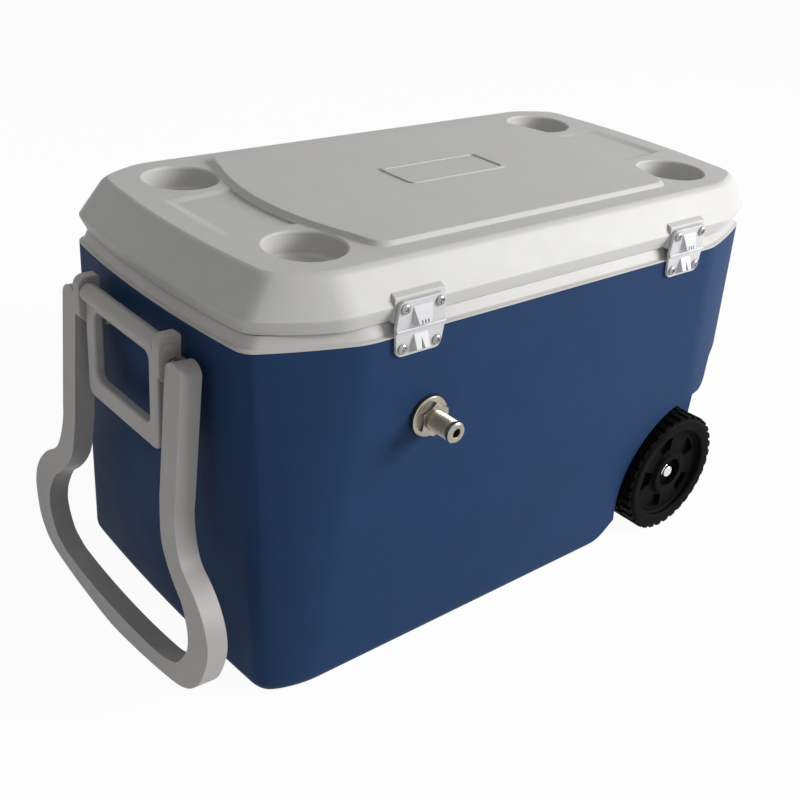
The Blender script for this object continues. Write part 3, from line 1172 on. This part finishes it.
def makeTap():
    d = tap
    x, y, z = outlet["x"], outlet["y"], outlet["z"]
    place = matrixTo((x, y, z), "y")
    upright = matrixTo((x, y + d["pivot"], z))
    pivot = matrixTo((x, y + d["pivot"], z + d["ballHeight"]))
    profile = [(d["bore"], d["reach"]), (d["root"], d["reach"])] + threadProfile(d["crest"], d["groove"],
        d["reach"] + d["threadStart"], d["inside"])
    profile += [(d["root"], d["inside"]), (d["bore"], d["inside"]), (d["bore"], d["reach"])]
    turnedPiece("frontShank", profile, place, 48, "steel", "front_shank")
    turnedPiece("tapFlange", d["flange"], place, 64, "chrome", "front_flange")
    collar = turnPiece("tapCollar", d["collar"], place, 64)
    radius, low, high = d["lug"]
    for i in range(4):
        across, up = polar(d["collarRadius"], (i + 0.5) * pi / 2)
        changeBy(collar, rodPiece("lug", radius, low, high, matrixTo((x + across, y, z + up), "y"), 20), "UNION")
    finishPiece(collar, "chrome", "faucet_collar", 0.3, 2, 50)
    body = turnPiece("tapBody", d["body"], place, 64)
    path = [place @ Vector((0, drop, out)) for out, drop in d["spoutPath"]]
    curve = [bezier(path, k / d["spoutSteps"]) for k in range(d["spoutSteps"] + 1)]
    changeBy(body, tubePiece("spout", curve, d["spout"], 0, 7), "UNION")
    changeBy(body, turnPiece("neck", d["neck"], upright, 48), "UNION")
    end = curve[-1] + (curve[-1] - curve[-2]).normalized()
    changeBy(body, tubePiece("spoutBore", curve[d["boreFrom"]:] + [end], d["spoutBore"], 0, 6))
    changeBy(body, rodPiece("throat", *d["throat"], upright))
    changeBy(body, rodPiece("inletBore", *d["inletBore"], place, 32))
    finishPiece(body, "chrome", "faucet_body", 0.25, 2, 50)
    turnedPiece("tapBonnet", d["bonnet"], upright, 48, "chrome", "faucet_bonnet")
    ball = [(d["ball"] * sin(a), -d["ball"] * cos(a)) for a in (pi * k / 16 for k in range(12))]
    turnedPiece("tapLever", ball + d["lever"], pivot, 40, "chrome", "faucet_lever")
    turnedPiece("tapKnob", d["knob"], pivot, 56, "knobBlack", "faucet_knob")


# Drain: spout through the wall and its pull plug with a grooved grip

drain = {
    "place": (235.0, -197.03, 62.0), "spout": [(8, 58.93), (10, 58.93), (10, 0), (19.6, 0), (20, -0.4), (20, -2.2),
        (19.4, -3.3), (18.2, -4), (8, -4), (8, 58.93)],
    "plug": [(0, 11.7), (6.65, 11.7), (7.65, 9.7), (7.65, -4.3), (16.6, -4.3), (17, -4.7), (17, -13.4), (16.4, -14.8),
        (15.2, -15.3), (0, -15.3)],
    "grips": 12, "gripRadius": 18.6, "grip": (2.2, -20, -6.5),
}


def makeDrain():
    d = drain
    x, y, z = d["place"]
    place = matrixTo(d["place"], "y")
    turnedPiece("drainSpout", d["spout"], place, 56, "handleGrey", "drain_spout")
    plug = turnPiece("drainPlug", d["plug"], place, 56)
    for k in range(d["grips"]):
        across, up = polar(d["gripRadius"], 2 * pi * k / d["grips"])
        changeBy(plug, rodPiece("grip", *d["grip"], matrixTo((x + across, y, z + up), "y"), 16))
    finishPiece(plug, "handleGrey", "drain_plug", 0.3, 2, 45)


# Cooling coil and its hoses

coil = {
    "x": 90.0, "radius": 115.0, "tube": 4.75, "pitch": 11.0, "turns": 9, "footZ": 53.05, "topAngle": radians(-80),
    "leadRadius": 45.0, "leadTurn": pi,
    "bend": 30.0, "rise": 40.0, "straight": 20.0, "topLead": pi / 3, "topLeadRise": 16.0, "steps": 48, "bendSteps": 10,
    "leadSteps": 24, "topSteps": 8, "endShare": 6,
}
hose = {
    "radius": 7.5, "bore": 5.5, "grip": 14.0, "steps": 24,
    "inlet": {"y": 111.69, "way": (0, -1, 0), "pull": 37.5}, "outlet": {"y": -112.2, "way": (0, 1, 0), "pull": 52.5},
}


def smoothStep(t):
    return t * t * (3 - 2 * t)


def coilLine():
    # riser in the middle, round the bottom, up in even turns and out at the top
    c = coil
    bend, footZ, rim = c["bend"], c["footZ"], c["radius"]
    topZ = footZ + c["turns"] * c["pitch"]

    def at(angle, radius, z):
        return Vector((c["x"] + radius * cos(angle), radius * sin(angle), z))

    def along(angle):
        return Vector((-sin(angle), cos(angle), 0))

    sweep = c["turns"] * 2 * pi
    start = c["topAngle"] - sweep
    first = start - c["leadTurn"]
    inner, way = at(first, c["leadRadius"], footZ), along(first)
    riser = inner - way * bend
    points = [Vector((riser.x, riser.y, topZ + c["rise"] - less)) for less in (0, c["straight"])]
    for angle in (pi / 2 * i / c["bendSteps"] for i in range(c["bendSteps"])):
        points.append(inner + Vector((0, 0, bend * (1 - sin(angle)))) - way * bend * cos(angle))
    for t in (i / c["leadSteps"] for i in range(c["leadSteps"])):
        points.append(at(first + c["leadTurn"] * t, c["leadRadius"] + (rim - c["leadRadius"]) * smoothStep(t), footZ))
    count = c["turns"] * c["steps"]
    points += [at(start + sweep * i / count, rim, footZ + c["pitch"] * i / c["steps"]) for i in range(count + 1)]
    for t in (i / c["topSteps"] for i in range(1, c["topSteps"] + 1)):
        points.append(at(c["topAngle"] + c["topLead"] * t, rim, topZ + c["topLeadRise"] * smoothStep(t)))
    way = along(c["topAngle"] + c["topLead"])
    return points + [points[-1] + way * c["tube"] * c["endShare"]], way


def makeHose(name, node, d, form, end, endWay):
    start, startWay = Vector((d["x"], form["y"], d["z"])), Vector(form["way"])
    legs = [start, start + startWay * form["pull"], end + endWay * form["pull"], end]
    line = [start - startWay * hose["grip"]] + [bezier(legs,
        k / hose["steps"]) for k in range(hose["steps"] + 1)] + [end - endWay * hose["grip"]]
    finishPiece(tubePiece(name, line, hose["radius"], hose["bore"], 6), "hose", node)


def makeCoil():
    points, endWay = coilLine()
    finishPiece(tubePiece("coolingCoil", points, coil["tube"], 0, 4), "tubeSteel", "cooling_coil")
    makeHose("inletHose", "inlet_hose", inlet, hose["inlet"], points[-1], endWay)
    makeHose("outletHose", "outlet_hose", outlet, hose["outlet"], points[0], Vector((0, 0, 1)))


makeInlet()
makeNuts()
refined("rear_shank_washer", 0.3, "sealRubber")
makeTap()
makeDrain()
makeCoil()
for node in ("hose_clamp_inlet_tail", "hose_clamp_coil_top", "hose_clamp_outlet_tail", "hose_clamp_coil_riser"):
    refined(node, 0.2, "tubeSteel")
for node in ("insulation_foam", "lid_foam"):
    source = frame["nodes"][node]
    source.data.materials.clear()
    source.data.materials.append(finishes["foam"][0])
print("fittings made")

bpy.context.view_layer.update()
